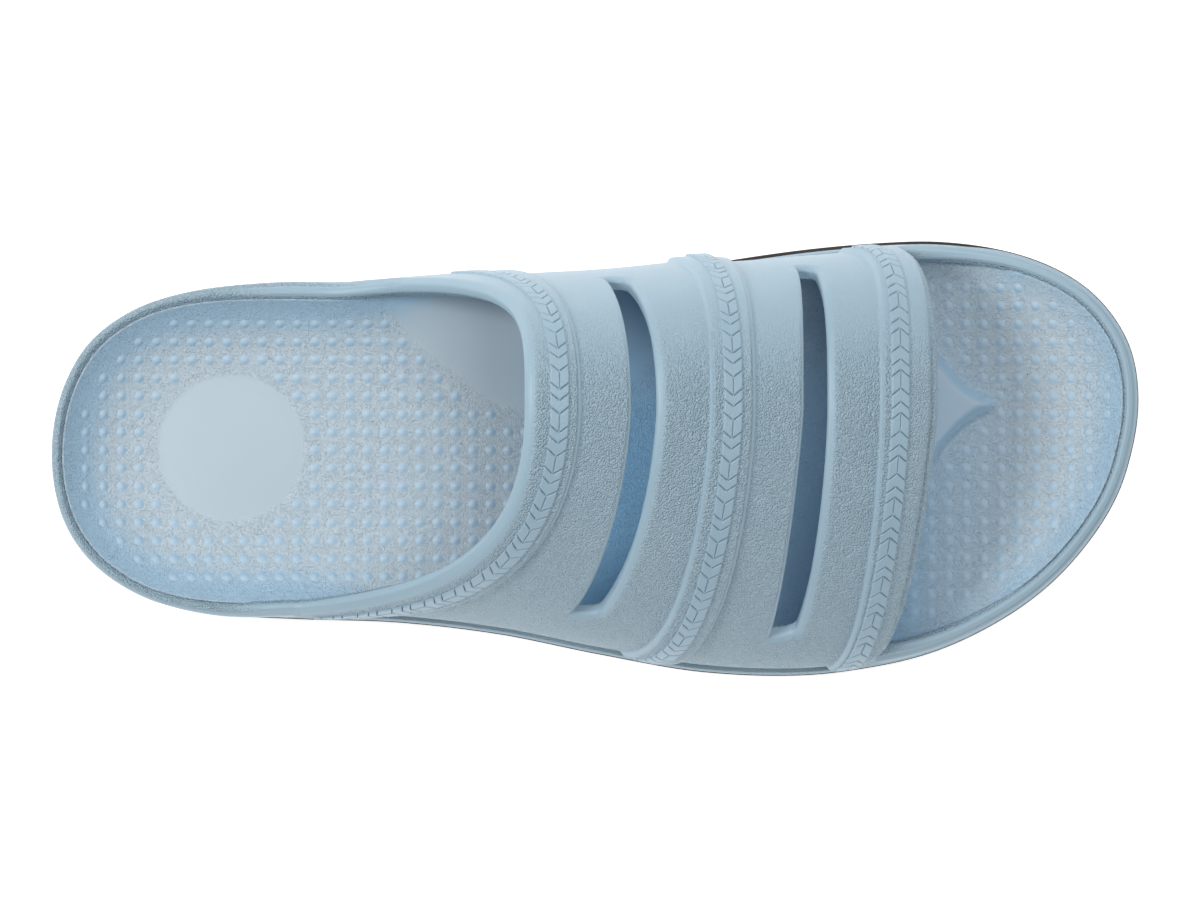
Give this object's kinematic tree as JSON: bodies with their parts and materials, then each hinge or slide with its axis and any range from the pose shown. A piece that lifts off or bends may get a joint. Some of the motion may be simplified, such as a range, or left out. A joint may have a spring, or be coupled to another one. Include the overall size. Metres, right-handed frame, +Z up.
{
  "type": "slide sandal",
  "caption": "Moulded foam sport slide for the right foot with a cupped heel, a closed strap upper crossed by slots and raised bands, and a dark treaded outsole.",
  "frame": {"origin": "on the floor under the middle of the sole's length and width", "axes": "+X from heel to toe, +Y towards the big-toe side of this right shoe, +Z up"},
  "size_m": [0.2758, 0.1106, 0.0942],
  "materials": {
    "outsole_rubber": "matte dark grey-brown rubber",
    "midsole_foam": "matte moulded foam, pale blue",
    "footbed_foam": "fine grained moulded foam with nubs, pale blue",
    "upper_foam": "pebble grained moulded foam, pale blue"
  },
  "bodies": {
    "root": {"outsole": "outsole_rubber", "midsole": "midsole_foam", "footbed": "footbed_foam", "upper": "upper_foam"}
  },
  "joints": []
}
